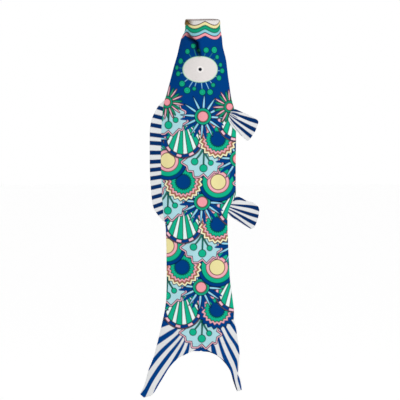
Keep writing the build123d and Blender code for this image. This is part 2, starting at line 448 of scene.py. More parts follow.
# Within a row the later motifs lie on top. Each one's middle is raised a little from its row.
RAISED = {fan: 3.4, moon: -0.6, leaf: 1.0, toothed: 0.0, navy_toothed: 0.0, daisy: 3.3}
ORDER = list(RAISED)
EDGE_FAN = (2, fan)       # the fans at the belly's edge lie lower than the rest of their row
EDGE_FAN_SHIFT = (-3.0, 13.5)
# which motif each place in the lattice holds; the lattice repeats every four rows
LATTICE = {
    0: {-2: leaf, 0: daisy, 2: fan},
    1: {-3: daisy, -1: fan, 1: toothed},
    2: {-2: moon, 0: leaf, 2: daisy},
    3: {-3: leaf, -1: toothed, 1: moon, 3: leaf},
}
LAST_ROWS = {
    9: {-3: daisy, -1: fan, 1: navy_toothed},
    10: {0: leaf},
}


def scales(cloth):
    """Rows of overlapping scales, the upper rows over the lower ones."""
    for row in reversed(range(ROWS)):
        places = LAST_ROWS.get(row, LATTICE[row % 4])
        for column, motif in sorted(places.items(), key=lambda place: ORDER.index(place[1])):
            down = FIRST_ROW + ROW * row
            x = COLUMN * column + (ODD_SHIFT if column % 2 else 0) + np.interp(down, *LEAN)
            down -= RAISED[motif]
            if (column, motif) == EDGE_FAN:
                x, down = x + EDGE_FAN_SHIFT[0], down + EDGE_FAN_SHIFT[1]
            motif(Motif(cloth, on_cloth(x, down), down, REACH))


def rosette(cloth, x, down, turn):
    spot = Motif(cloth, on_cloth(x, down), down, 50)
    for k in range(12):
        green, pink = turn + 11 + 30 * k, turn - 1 + 30 * k
        spot.petal(green, 13, 42, 3.9, MID_GREEN, DEEP_GREEN, point=0.4)
        spot.petal(pink, 13, 45, 2.7, PALE_PINK, BROWN, point=0.2)
    spot.disc(16.1, MID_GREEN, DEEP_GREEN)
    spot.disc(9.4, PINK, BROWN)


EYE_X, EYE_DOWN = -6.1, 127
EYE_WIDE, EYE_HIGH = 47.5, 35.0
LASHES = [                # from the eye's middle: dx, up and the radius of the dot
    (-33.5, 47, 7.1), (-17.7, 62, 6.6), (-4.8, 50, 5.0), (15.6, 51, 7.4), (37, 51, 8.7),
    (44.4, 32, 6.1), (53.6, 11, 6.0), (58.3, -5, 7.0), (49.6, -23.5, 7.2), (34.1, -42, 5.8),
    (26.1, -60.5, 7.7), (5.8, -60.5, 8.2), (-15.8, -51.5, 5.5), (-34.3, -56, 8.4),
    (-47.3, -38.3, 7.9), (-57.6, -12.4, 6.8), (-61.2, 3.4, 6.2), (-51, 21, 7.7),
]


def eye(cloth):
    spot = Motif(cloth, on_cloth(EYE_X, EYE_DOWN), EYE_DOWN, 85)
    for dx, up, radius in LASHES:
        dx = on_cloth(EYE_X + dx, EYE_DOWN - up) - on_cloth(EYE_X, EYE_DOWN)
        stem = SPIKE_BLUE if up < 0 else STALK_GREEN
        spot.stalk([(0.55 * dx, 0.55 * up, 0.8), (dx, up, 0.6)], stem)
        spot.disc(radius, GREEN, DEEP_GREEN, dx, up)
        spot.disc(radius * 0.5, GREEN, MID_GREEN, dx, up)
    oval = (np.hypot(spot.dx / EYE_WIDE, spot.up / EYE_HIGH) - 1) * EYE_HIGH
    spot.lay(oval - 0.8, DEEP_GREEN)
    spot.lay(oval, EYE_RIM)
    spot.lay(oval + 1.8, EYE_WHITE)
    spot.disc(9, EYE_MIDDLE)
    spot.disc(4.6, PUPIL)


SCALLOP = 58.0            # from cusp to cusp round the mouth
SCALLOP_CUSP = 6.6
SCALLOP_DEPTH = 10.0
MOUTH_BANDS = [           # how far down each band ends at a cusp, from the mouth's edge
    (-0.6, WHITE), (1.8, BROWN), (8.8, YELLOW), (11.0, DEEP_GREEN), (15.0, MID_GREEN),
    (16.2, GREEN), (19.8, MID_GREEN), (21.4, DEEP_GREEN), (28.4, BAND_BLUE),
    (31.0, DEEP_NAVY), (37.8, PINK), (39.4, DEEP_NAVY),
]


def mouth_bands(cloth):
    """Scalloped bands under the mouth, with their cusps up."""
    wave = np.sin(pi * (cloth.x - SCALLOP_CUSP) / SCALLOP)
    swing = ((wave ** 2 + 0.03) ** 0.5 - 0.17) / 0.84
    level = cloth.down - SCALLOP_DEPTH * swing
    for end, colour in reversed(MOUTH_BANDS):
        cloth.lay(level - end, colour)


TAIL_GROUND = [(-140, 822), (-108, 811), (-84, 802), (-70, 790), (0, 772), (60, 775), (82, 786),
               (140, 786)]     # below this line the ground is white, with navy stripes
TAIL_STRIPES = [
    [(-66, 812, 3), (-82, 823.5, 6), (-106, 839.5, 7), (-130, 855, 8)],
    [(-52, 818.5, 2), (-72, 839.5, 4), (-104.5, 871, 5.5), (-125.5, 895, 5.5), (-145, 919, 6.5)],
    [(-49.5, 831, 1.5), (-66, 855, 3.5), (-91, 887, 5), (-114.5, 919, 5.5), (-134.5, 950, 5.5),
     (-147, 974, 5.5), (-156.5, 990, 7.5)],
    [(-46, 842, 1), (-51, 855.5, 3), (-68, 887, 4.5), (-79, 903, 3.5), (-100, 934.5, 3),
     (-119, 966, 3), (-129, 984, 1)],
    [(-36, 854, 3), (-40, 870, 4.5), (-45, 884, 6)],
    [(-23, 873, 1.5), (-2.5, 871, 8.5), (18, 874, 1.5)],
    [(73.5, 795, 5), (92.5, 824, 4.5)],
    [(59, 808, 3), (72, 831.5, 4), (88, 855.5, 4.5), (94, 868, 4.5), (99, 879, 4)],
    [(47.5, 816, 2.5), (65.5, 855.5, 4), (81, 887, 5), (88, 903, 4.5), (92.5, 928, 1)],
    [(42.5, 836, 2), (44.5, 848, 3.5), (54.5, 879, 5), (68, 911, 6), (75.5, 926.5, 5),
     (84, 958, 3), (89, 974, 2)],
    [(25.5, 855, 3), (28, 863.5, 5.5), (32, 884, 7)],
    [(93, 937, 1), (96, 950.5, 3), (102, 975, 1.5)],
]
# a dark line along the arch's inner edge: painted shade of its folded edge
ARCH_EDGE_SHADE = [(10, 873, 1), (21.5, 876, 1.2), (36.5, 884.5, 1.2), (58, 902.5, 1.5), (76, 936, 2),
            (90, 978, 2.5)]


def tail_stripes(cloth):
    edge = np.interp(cloth.x, *zip(*TAIL_GROUND))
    cloth.lay(edge - cloth.down, STRIPE_WHITE)
    for line in TAIL_STRIPES:
        cloth.stroke(line, NAVY)
    # painted shade along the arch's edge
    cloth.stroke(ARCH_EDGE_SHADE, DEEP_NAVY)


CREASE = [(-46, 30, 0), (-38, 41, 0), (-26, 49, 0), (-15, 57, 0), (-14, 72, 0), (-9, 88, 0)]
CREASE_DEPTH = 6.5
CREASE_LIP = 2.6          # the cloth beside the crease swells by this much
# how far painted shade darkens the print along the crease
CREASE_PAINTED_SHADE = 0.86


def crease(x, down):
    """Distance to the crease that runs down from the hem, and how strong it is there."""
    ends = np.clip((down - 24) / 14, 0, 1) * np.clip((102 - down) / 20, 0, 1)
    return line_distance(x, down, CREASE), ends


def shade_crease(cloth):
    """Painted shade along the crease under the hem: the print is darkened where the deep crease's
    shadow falls.
    """
    valley, ends = crease(cloth.x, cloth.down)
    cloth.rgb *= (1 - CREASE_PAINTED_SHADE * ends * np.exp(-(valley / 6.5) ** 2))[:, None]


def panel_print(x, down, side=BACK):
    cloth = Print(x, down, NAVY)
    tail_stripes(cloth)
    scales(cloth)
    rosette(cloth, -93.5, 215, -6.5)
    rosette(cloth, 71.5, 227, 2)
    eye(cloth)
    mouth_bands(cloth)
    # the front panels get the crease's painted shade
    if side == FRONT:
        shade_crease(cloth)
    return cloth.rgb


PECTORAL_STRIPES_AND_FOLD_SHADOW = [
    [(75, 238, 1), (85, 236, 3.5), (97, 239.5, 2), (105.5, 242.5, 0.5)],
    [(76, 241, 0.5), (86, 243, 1), (95, 245.5, 0.5)],
    [(72.5, 242.5, 1), (88, 247, 2.5), (121, 259, 5), (150, 267.5, 6)],
    [(74, 246, 0.5), (84, 252, 1), (92, 257, 0.5)],
    [(71.5, 248, 1), (83.5, 257, 2), (116.5, 276.5, 4.5), (143, 290.5, 6)],
    [(70.5, 252.5, 1), (79, 263.5, 2.5), (92.5, 276.5, 3.5), (131, 308, 5)],
    # a thin painted shadow along a fold near the fin's lower edge, not a stripe
    [(73, 264, 0.5), (87, 283, 0.5), (104, 304, 0.5)],
]
PELVIC_STRIPES = [
    [(75, 478, 1.5), (87, 470.5, 4), (100, 470, 4), (114, 476, 1)],
    [(67, 484.5, 1), (90, 487, 2.5), (127.5, 491.5, 4.5), (152, 497.5, 6.5)],
    [(65, 489.5, 1), (86, 497.5, 2.5), (125.5, 511, 4.5), (152, 518, 5)],
    [(64, 496, 1), (86, 507, 2.5), (121, 527, 4.5), (146, 539.5, 5.5)],
    [(64, 501.5, 1), (79, 515.5, 3), (95, 526, 2.5), (126, 548, 1.5)],
]


def fan_print(lines):
    def paint(x, down):
        cloth = Print(x, down, STRIPE_WHITE)
        for line in lines:
            cloth.stroke(line, FIN_NAVY)
        return cloth.rgb
    return paint


DORSAL_STRIPES = (227.5, 253, 277.4, 302.4, 323.6, 348.4, 372, 392.6, 414.2, 438.7, 464.3, 489.1,
                  511)
DORSAL_X = -122           # the stripes are this far down at this x, and fan out from there
DORSAL_LEVEL = 350        # a stripe this far down is level
DORSAL_SPREAD = 0.0026    # how much steeper a stripe is for each millimetre from that level
DORSAL_STRIPE = 11.2


def dorsal_print(x, down):
    cloth = Print(x, down, STRIPE_WHITE)
    for stripe in DORSAL_STRIPES:
        slope = DORSAL_SPREAD * (DORSAL_LEVEL - stripe)
        gap = np.abs(cloth.down - stripe - slope * (cloth.x - DORSAL_X)) - DORSAL_STRIPE / 2
        cloth.lay(gap, FIN_NAVY)
    return cloth.rgb


# ---- materials ----

def node_tree(name):
    material = bpy.data.materials.new(name)
    material.use_nodes = True
    return material, material.node_tree.nodes, material.node_tree.links


def set_inputs(node, values):
    for socket, value in values.items():
        node.inputs[socket].default_value = value


def attribute(nodes, name):
    node = nodes.new("ShaderNodeAttribute")
    node.attribute_name = name
    return node


def math_node(nodes, links, operation, *values):
    node = nodes.new("ShaderNodeMath")
    node.operation = operation
    for socket, value in zip(node.inputs, values):
        if isinstance(value, (int, float)):
            socket.default_value = value
        else:
            links.new(value, socket)
    return node.outputs[0]


def noise(nodes, links, place, scale, detail=2, roughness=0.5):
    node = nodes.new("ShaderNodeTexNoise")
    set_inputs(node, {"Scale": scale, "Detail": detail, "Roughness": roughness})
    links.new(place, node.inputs["Vector"])
    return node.outputs["Fac"]


def ramp(nodes, links, factor, low, high):
    node = nodes.new("ShaderNodeValToRGB")
    node.color_ramp.elements[0].color = (*low, 1)
    node.color_ramp.elements[1].color = (*high, 1)
    links.new(factor, node.inputs["Fac"])
    return node.outputs["Color"]


def bump(nodes, links, height, distance, strength=1, normal=None):
    node = nodes.new("ShaderNodeBump")
    set_inputs(node, {"Strength": strength, "Distance": distance})
    links.new(height, node.inputs["Height"])
    if normal:
        links.new(normal, node.inputs["Normal"])
    return node.outputs["Normal"]


THREAD_PITCH = 0.6


def plain_weave(nodes, links, cloth):
    """Height of the cloth's crossing threads."""
    weave = []
    for direction in ("X", "Y"):
        wave = nodes.new("ShaderNodeTexWave")
        wave.bands_direction = direction
        set_inputs(wave, {"Scale": pi / 10 / THREAD_PITCH, "Distortion": 0.6,
                          "Detail Scale": 0.4})
        links.new(cloth, wave.inputs["Vector"])
        weave.append(wave.outputs["Fac"])
    return math_node(nodes, links, "MULTIPLY", *weave)


def print_colour(nodes, links, faded):
    """The print, paler where it has come only part of the way through the cloth."""
    ground = attribute(nodes, "print").outputs["Color"]
    if not faded:
        return ground
    fade = nodes.new("ShaderNodeMix")
    fade.data_type = "RGBA"
    set_inputs(fade, {"Factor": faded, "B": (*WHITE, 1)})
    links.new(ground, fade.inputs["A"])
    return fade.outputs["Result"]


def woven(name, faded=0.0, roughness=0.72):
    """Printed plain-weave polyester. faded is how much of the print is lost, as on its inside."""
    material, nodes, links = node_tree(name)
    shader = nodes["Principled BSDF"]
    set_inputs(shader, {"Roughness": roughness, "Sheen Weight": 0.015, "Sheen Roughness": 0.4,
                        "IOR": 1.03})

    cloth = attribute(nodes, "cloth").outputs["Vector"]
    threads = plain_weave(nodes, links, cloth)
    slubs = noise(nodes, links, cloth, scale=0.9, detail=3)
    creases = noise(nodes, links, cloth, scale=0.045, detail=4, roughness=0.55)

    relief = math_node(nodes, links, "MULTIPLY_ADD", threads, 0.1, 0.9)
    uneven = math_node(nodes, links, "MULTIPLY_ADD", slubs, 0.16, 0.94)
    tone = math_node(nodes, links, "MULTIPLY", relief, uneven)
    tint = nodes.new("ShaderNodeVectorMath")
    tint.operation = "SCALE"
    links.new(print_colour(nodes, links, faded), tint.inputs[0])
    links.new(tone, tint.inputs["Scale"])
    links.new(tint.outputs["Vector"], shader.inputs["Base Color"])

    fine = bump(nodes, links, threads, distance=0.00012, strength=0.35)
    soft = bump(nodes, links, creases, distance=0.0022, strength=0.5, normal=fine)
    links.new(soft, shader.inputs["Normal"])
    return material


def thread_material(name, colour):
    material, nodes, links = node_tree(name)
    shader = nodes["Principled BSDF"]
    set_inputs(shader, {"Roughness": 0.6, "Sheen Weight": 0.3})
    place = nodes.new("ShaderNodeTexCoord").outputs["Object"]
    twist = noise(nodes, links, place, scale=900)
    links.new(ramp(nodes, links, twist, colour * 0.8, colour), shader.inputs["Base Color"])
    links.new(bump(nodes, links, twist, distance=0.0001), shader.inputs["Normal"])
    return material


def metal(name, colour, roughness):
    material, nodes, links = node_tree(name)
    shader = nodes["Principled BSDF"]
    set_inputs(shader, {"Metallic": 1})
    place = nodes.new("ShaderNodeTexCoord").outputs["Object"]
    grain = noise(nodes, links, place, scale=400)
    smooth, rough = np.full(3, roughness - 0.08), np.full(3, roughness + 0.1)
    links.new(ramp(nodes, links, grain, colour * 0.85, colour), shader.inputs["Base Color"])
    links.new(ramp(nodes, links, grain, smooth, rough), shader.inputs["Roughness"])
    return material


PRINTED = woven("printed_cloth")
INSIDE = woven("cloth_inside", faded=0.45)
HEM_CLOTH = woven("hem_cloth", roughness=0.8)
SEAM_CLOTH = woven("seam_cloth", faded=0.25)
THREAD = thread_material("white_thread", WHITE)
NICKEL = metal("nickel", np.array([0.72, 0.72, 0.70]), 0.3)
STEEL = metal("hoop_steel", np.array([0.55, 0.55, 0.57]), 0.4)


# ---- meshes ----

def add_object(name, data):
    thing = bpy.data.objects.new(name, data)
    bpy.context.scene.collection.objects.link(thing)
    return thing


def new_object(name, mesh, *materials):
    piece = add_object(name, mesh)
    for material in materials:
        mesh.materials.append(material)
    mesh.polygons.foreach_set("use_smooth", [True] * len(mesh.polygons))
    return piece


def ruled(first, second, columns):
    """A grid of points in straight rows from one line to another."""
    share = np.linspace(0, 1, columns)[None, :, None]
    return first[:, None] * (1 - share) + second[:, None] * share


def grid_faces(rows, columns, flip=False, closed=False):
    index = np.arange(rows * columns).reshape(rows, columns)
    if closed:
        index = np.hstack([index, index[:, :1]])
    corners = [index[:-1, :-1], index[1:, :-1], index[1:, 1:], index[:-1, 1:]]
    if flip:
        corners.reverse()
    return np.stack(corners, axis=-1).reshape(-1, 4)


def printed_mesh(name, place, faces, rgb, cloth_place):
    """A mesh whose points carry their printed colour, with the shade painted into it, and their
    place on the flat cloth.
    """
    mesh = bpy.data.meshes.new(name)
    mesh.from_pydata((place.reshape(-1, 3) * MM).tolist(), [], faces)
    # the colour attribute holds the print together with the shade painted into it
    colour = mesh.color_attributes.new("print", "FLOAT_COLOR", "POINT")
    rgba = np.hstack([rgb, np.ones((len(rgb), 1))])
    colour.data.foreach_set("color", rgba.astype(np.float32).ravel())
    flat = mesh.attributes.new("cloth", "FLOAT_VECTOR", "POINT")
    flat.data.foreach_set("vector", cloth_place.astype(np.float32).ravel())
    return mesh


def cloth_piece(name, place, cloth_x, cloth_down, rgb, faces, thickness, outside=PRINTED,
                inside=INSIDE):
    """A sheet of cloth from a grid of places, as thick as its ply."""
    cloth_place = np.stack([cloth_x, cloth_down, np.zeros_like(cloth_x)], axis=-1)
    mesh = printed_mesh(name, place, faces.tolist(), rgb, cloth_place)
    piece = new_object(name, mesh, outside, inside)
    ply = piece.modifiers.new("ply", "SOLIDIFY")
    ply.thickness = thickness * MM
    ply.offset = -1
    ply.material_offset = 1
    return piece


# ---- the tube ----

FOLDS = [                 # height, length across and down the cloth, and phase
    (1.5, 83, 900, 1),
    (1.0, 49, -640, 2.2),
    (0.9, 260, 230, 1),
]


def folds(side, x, down):
    """How far the hanging cloth stands out from its plain shape."""
    stand = sum(
        height * np.sin(2 * pi * (x / wide + down / long) + phase * side)
        for height, wide, long, phase in FOLDS
    )
    stand *= np.clip((down - 40) / 200, 0.15, 1)      # the hoop holds the cloth smooth
    if side == FRONT:
        valley, ends = crease(x, down)
        lip = CREASE_LIP * np.exp(-((valley - 10) / 6) ** 2)
        stand += (lip - CREASE_DEPTH * np.exp(-(valley / 4.5) ** 2)) * ends
    return stand


def tube_point(side, x, down):
    """A place on one side of the tube, for a point seen at x. It keeps to the arc as it flattens."""
    middle, radius, angle = arc(down)
    turn = np.arcsin(np.clip((x - middle) / radius, -1, 1))
    return on_tube(side, np.clip(turn / angle, -1, 1), down, x)


def on_tube(side, across, down, x=None):
    """A place on one side of the tube, from across -1 at its left seam to 1 at its right one."""
    middle, radius, angle = arc(down)
    turn = across * angle
    cloth_x = middle + radius * turn
    out = folds(side, cloth_x, down) * (1 - across ** 4)
    seen_x = middle + radius * np.sin(turn) if x is None else x
    level = SEAM_HALF + radius * np.cos(turn) - radius * np.cos(angle)
    y = side * (level + out * np.cos(turn))
    return np.stack([seen_x + out * np.sin(turn), y, -down], axis=-1), cloth_x


STEP = 1.2                # spacing of the tube's grid, up and down
COLUMNS = 160
LOBE_GRID = (130, 110)


def tube_cloth(name, side, top, bottom):
    rows = int(round((bottom - top) / STEP)) + 1
    levels, shares = np.linspace(top, bottom, rows), np.linspace(-1, 1, COLUMNS)
    down, across = np.meshgrid(levels, shares, indexing="ij")
    place, cloth_x = on_tube(side, across, down)
    faces = grid_faces(rows, COLUMNS, flip=side == BACK)
    rgb = panel_print(cloth_x, down, side)
    piece = cloth_piece(name, place, cloth_x, down, rgb, faces, CLOTH)
    return piece


def lobe_cloth(name, side, outer, inner):
    rows, columns = LOBE_GRID
    x, down = np.moveaxis(ruled(curve(outer, rows), curve(inner, rows), columns), -1, 0)
    place, _ = tube_point(side, x, down)
    clockwise = outer[0][0] > inner[0][0]
    faces = grid_faces(rows, columns, flip=(side == BACK) != clockwise)
    piece = cloth_piece(name, place, x, down, panel_print(x, down), faces, CLOTH)
    return piece


def bend_at(piece, upper, lower, down, before, after):
    """Bakes the piece's placement into its mesh."""
    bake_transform(piece)


STRETCHES = [             # name, ends, flex line, its two bodies, and how far its bend reaches
    ("upper", PANEL_TOP, CUTS[0], "shoulder_flex", "head", "trunk", 34, 32),
    ("middle", CUTS[0], CUTS[1], "waist_flex", "trunk", "rear", 40, 40),
    ("lower", CUTS[1], CUTS[2], "tail_flex", "rear", "tail", 32, 34),
]
STANDS_FOR = {"upper": ["head"], "middle": ["trunk"], "lower": ["rear", "tail"]}
LOBES = {
    "left_lobe": (LEFT_LOBE_OUTER, LEFT_LOBE_INNER),
    "right_lobe": (RIGHT_LOBE_OUTER, RIGHT_LOBE_INNER),
}
LOBE_BEND = (9, 40)
SEAM_COLUMNS = 7
SEAM_WIDTH = 6.0
LOBE_SEAM_WIDTH = 4.4
SEAM_PLY = 0.25
SEAM_INSET = 0.6          # from the tube's edge to its seam allowance


def seam_allowance(name, outer, inner):
    """The folded edges of both panels, sewn together inside the tube."""
    x, down = np.moveaxis(ruled(outer, inner, SEAM_COLUMNS), -1, 0)
    place = np.stack([x, np.zeros_like(x), -down], axis=-1)
    faces = grid_faces(len(outer), SEAM_COLUMNS)
    strip = cloth_piece(f"{name}_allowance", place, x, down, panel_print(x, down), faces,
                        SEAM_PLY, SEAM_CLOTH, SEAM_CLOTH)
    return strip


def tube_seam(edge_name, edge, stretch, top, bottom):
    inward = 1 if edge == LEFT else -1
    down = np.arange(top + 2, bottom + 0.1, 2.0)
    x = outline(down)[edge] + inward * SEAM_INSET
    return seam_allowance(
        f"{edge_name}_{stretch}_seam",
        np.stack([x, down], axis=1),
        np.stack([x + inward * SEAM_WIDTH, down], axis=1),
    )


def tube():
    for name, top, bottom, joint, upper, lower, before, after in STRETCHES:
        dorsal = tube_seam("dorsal", LEFT, name, top, bottom)
        belly = tube_seam("belly", RIGHT, name, top, bottom)
        front = tube_cloth(f"front_{name}_cloth", FRONT, top, bottom)
        back = tube_cloth(f"back_{name}_cloth", BACK, top, bottom)
        pieces = {"dorsal_{}_seam": dorsal, "belly_{}_seam": belly,
                  "front_{}_panel": front, "back_{}_panel": back}
        for node, piece in pieces.items():
            bend_at(piece, upper, lower, FLEX[joint], before, after)
            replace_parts(piece, *[node.format(body) for body in STANDS_FOR[name]])


def lobes():
    for name, (outer, inner) in LOBES.items():
        inward = 1 if outer[0][0] < inner[0][0] else -1
        line = curve(outer, 70)
        edge = line + (inward * SEAM_INSET, 0)
        strip = seam_allowance(f"{name}_seam", edge, edge + (inward * LOBE_SEAM_WIDTH, 0))
        front = lobe_cloth(f"{name}_front_cloth", FRONT, outer, inner)
        back = lobe_cloth(f"{name}_back_cloth", BACK, outer, inner)
        for kind, piece in (("seam", strip), ("front", front), ("back", back)):
            bend_at(piece, "tail", name, LOBE_FLEX, *LOBE_BEND)
            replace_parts(piece, f"{name}_{kind}")


tube()
lobes()


# ---- the rolled hem of the mouth ----

HEM_ROWS, HEM_COLUMNS = 44, 260
HEM_PLY = 0.3
HEM_PROFILE = [           # radius and height, from the outer bottom over the wire to the inner one
    (HEM_RADIUS - 0.2, -HEM_BOTTOM), (HEM_RADIUS, -8.5), (HEM_RADIUS - 0.2, -4.5),
    (HOOP_RADIUS + 2.5, -1.0), (HOOP_RADIUS + 2.2, 0.6), (HOOP_RADIUS + 1.2, 2.0),
    (HOOP_RADIUS - 0.4, 2.4), (HOOP_RADIUS - 1.9, 1.4), (HOOP_RADIUS - 2.4, -0.2),
    (HOOP_RADIUS - 1.8, -2.2), (HOOP_RADIUS, -4.0), (HEM_RADIUS - 1.3, -6.2),
    (HEM_RADIUS - 1.3, -HEM_BOTTOM),
]
# the colour the hem's print is multiplied by at its dorsal end: painted shade
HEM_SHADE = ink(150, 128, 92)
# painted shade: the grey-pink given to the white hem's inside
HEM_INSIDE_SHADE = ink(212, 198, 196)
# colour of the painted shadows of wrinkles on the hem
HEM_WRINKLE_SHADOW_INK = ink(112, 76, 40)
HEM_SHADE_FROM = -23      # painted shade on the hem begins here: its dorsal side is turned away from the light from here on
HEM_SHADE_OVER = 15
# painted shadows of small wrinkles at the hem's dorsal end
HEM_WRINKLE_SHADOWS = [
    [(-57, 10, 0.9), (-51, 4, 0.9), (-42, 1.5, 0.7), (-33, 3, 0.4)],
    [(-52, 12, 0.8), (-46, 7, 0.8), (-38, 7.5, 0.6), (-30, 11, 0.4)],
]
PUCKERS = ((0.08, 31, 0), (0.12, 13, 1), (0.15, 5, 0))       # height, how many round, and phase


def hem_print(cloth_x, down, x, inner):
    cloth = Print(cloth_x, down, WHITE)
    mouth_bands(cloth)
    # painted shade: the hem darkens towards its dorsal end, which is turned away from the light
    rolled = np.clip((HEM_SHADE_FROM - x.ravel()) / HEM_SHADE_OVER, 0, 1)[:, None]
    cloth.rgb *= 1 + rolled * (HEM_SHADE - 1)
    # painted shadows of wrinkles
    for wrinkle_shadow in HEM_WRINKLE_SHADOWS:
        cloth.stroke(wrinkle_shadow, HEM_WRINKLE_SHADOW_INK)
    # painted shade: the inside of the hem is grey-pink in place of its print
    cloth.rgb[inner.ravel()] = HEM_INSIDE_SHADE
    return cloth.rgb


def mouth_hem():
    profile = curve(HEM_PROFILE, HEM_ROWS)
    turn = np.linspace(0, 2 * pi, HEM_COLUMNS, endpoint=False)
    radius, turn = np.meshgrid(profile[:, 0], turn, indexing="ij")
    height = np.repeat(profile[:, 1:], HEM_COLUMNS, axis=1)
    low = np.clip(-height / 4, 0, 1)
    pucker = sum(high * np.sin(count * turn + phase) for high, count, phase in PUCKERS)
    radius = radius + pucker * (1 - 0.6 * low)
    height = height + 0.4 * np.sin(3 * turn + 0.6) * (1 - low)
    # turn 0 is the front's middle, and it grows towards the belly's side
    place = np.stack([radius * np.sin(turn), -radius * np.cos(turn), height], axis=-1)
    around = np.where(turn > pi, turn - 2 * pi, turn)
    around = np.where(np.abs(around) > pi / 2, np.sign(around) * pi - around, around)
    inner = np.repeat(np.arange(HEM_ROWS)[:, None] > HEM_ROWS / 2, HEM_COLUMNS, axis=1)
    rgb = hem_print(HEM_RADIUS * around, -height, place[..., 0], inner)
    faces = grid_faces(HEM_ROWS, HEM_COLUMNS, closed=True, flip=True)
    middle = place.reshape(-1, 3)[faces].mean(axis=1)
    hole = np.hypot(middle[:, 1], middle[:, 2] + EYELET_DOWN) < EYELET_HOLE
    steps = np.linalg.norm(np.diff(profile, axis=0), axis=1)
    rolled_down = np.repeat(np.append(0, np.cumsum(steps))[:, None], HEM_COLUMNS, axis=1)
    hem = cloth_piece("mouth_hem_cloth", place, HEM_RADIUS * turn, rolled_down, rgb,
                      faces[~hole], HEM_PLY, HEM_CLOTH, HEM_CLOTH)
    hem_stitches()
    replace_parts(hem, "mouth_hem")
    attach(hem, "head")


# ---- stitches ----

STITCH = 2.6
STITCH_GAP = 1.5
STITCH_RADIUS = 0.28
STITCH_RINGS = 5
STITCH_SIDES = 6


def stitches(name, line, out):
    """A row of stitches along a line; out is the direction away from the cloth at each point."""
    steps = np.linalg.norm(np.diff(line, axis=0), axis=1)
    along = np.append(0, np.cumsum(steps))

    def at(points, distance):
        return np.array([np.interp(distance, along, points[:, k]) for k in range(3)])

    vertices, faces = [], []
    for start in np.arange(0, along[-1] - STITCH, STITCH + STITCH_GAP):
        middle = start + STITCH / 2
        place = at(line, middle)
        ahead = at(line, middle + 0.5) - place
        ahead /= np.linalg.norm(ahead)
        up = at(out, middle)
        up -= ahead * (up @ ahead)
        up /= np.linalg.norm(up)
        faces += stitch_faces(len(vertices))
        vertices += stitch_points(place, ahead, up)
    mesh = bpy.data.meshes.new(name)
    mesh.from_pydata((np.array(vertices) * MM).tolist(), [], faces)
    return new_object(name, mesh, THREAD)


def stitch_points(place, ahead, up):
    """Rings of points round one stitch, which swells between the holes where it enters."""
    beside = np.cross(ahead, up)
    points = []
    for ring in range(STITCH_RINGS):
        t = ring / (STITCH_RINGS - 1)
        swell = STITCH_RADIUS * (0.35 + 0.65 * sin(pi * t) ** 0.6)
        centre = place + ahead * STITCH * (t - 0.5) + up * STITCH_RADIUS * (sin(pi * t) - 0.3)
        for k in range(STITCH_SIDES):
            a = 2 * pi * k / STITCH_SIDES
            points.append(centre + swell * (cos(a) * up + sin(a) * beside))
    return points


def stitch_faces(first):
    """The faces of one stitch whose points begin at the given index."""
    faces = []
    for ring in range(STITCH_RINGS - 1):
        for k in range(STITCH_SIDES):
            a = first + ring * STITCH_SIDES + k
            b = first + ring * STITCH_SIDES + (k + 1) % STITCH_SIDES
            faces.append((a, b, b + STITCH_SIDES, a + STITCH_SIDES))
    last = first + (STITCH_RINGS - 1) * STITCH_SIDES
    faces.append(tuple(first + k for k in reversed(range(STITCH_SIDES))))
    faces.append(tuple(last + k for k in range(STITCH_SIDES)))
    return faces


def hem_stitches():
    turn = np.linspace(0.08, 2 * pi + 0.08, 240)
    out = np.stack([np.sin(turn), -np.cos(turn), np.zeros_like(turn)], axis=1)
    line = out * (HEM_RADIUS - 0.1) + (0, 0, -HEM_BOTTOM + 1.0)
    row = stitches("hem_stitches", line, out)
    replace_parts(row, "hem_thread")
    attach(row, "head")
    return row


mouth_hem()


# ---- the fins ----

FIN_THICKNESS = 0.8
ROOT_HALF_WIDTH = 1.5
ROOT_HALF_THICKNESS = 0.7
ROOT_SIDES = 10
DORSAL_ROWS = 260
DORSAL_WAVE = 1.6         # how far the dorsal fin's outer edge waves to each side
FAN_GRID = 70


def root_hem(name, line, paint):
    """The folded edge of a fin along its root, a flat bead."""
    ahead = np.gradient(line, axis=0)
    ahead /= np.linalg.norm(ahead, axis=1)[:, None]
    out = np.cross(ahead, (0, 1, 0))
    turn = np.linspace(0, 2 * pi, ROOT_SIDES, endpoint=False)
    ring = line[:, None] + ROOT_HALF_WIDTH * np.cos(turn)[None, :, None] * out[:, None]
    ring = ring + ROOT_HALF_THICKNESS * np.sin(turn)[None, :, None] * np.array([0, 1, 0])
    last = (len(line) - 1) * ROOT_SIDES
    faces = [list(face) for face in grid_faces(len(line), ROOT_SIDES, closed=True)]
    faces.append(list(range(ROOT_SIDES)))
    faces.append([last + k for k in reversed(range(ROOT_SIDES))])
    mesh = printed_mesh(f"{name}_root", ring, faces, paint(ring[..., 0], -ring[..., 2]), ring)
    strip = new_object(f"{name}_root_fold", mesh, PRINTED)
    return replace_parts(strip, f"{name}_root_hem")


def flap_direction(joint, side):
    """A fin's hinge: its place, its axis, and the way out across the fin, to the -X or +X side."""
    origin, axis = hinge(joint)
    away = np.cross((0, 1, 0), axis)
    return origin, axis, away * np.sign(away[0]) * side


def sewn_fin(name, x, y, down, faces, paint, root):
    """A fin's cloth and its root fold, with their placement baked into their meshes."""
    place = np.stack([x, y, -down], axis=-1)
    piece = cloth_piece(f"{name}_cloth", place, x, down, paint(x, down), faces, FIN_THICKNESS,
                        inside=PRINTED)
    piece.modifiers["ply"].offset = 0
    strip = root_hem(name, root, paint)
    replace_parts(piece, f"{name}_front", f"{name}_back")
    for part in (piece, strip):
        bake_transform(part)


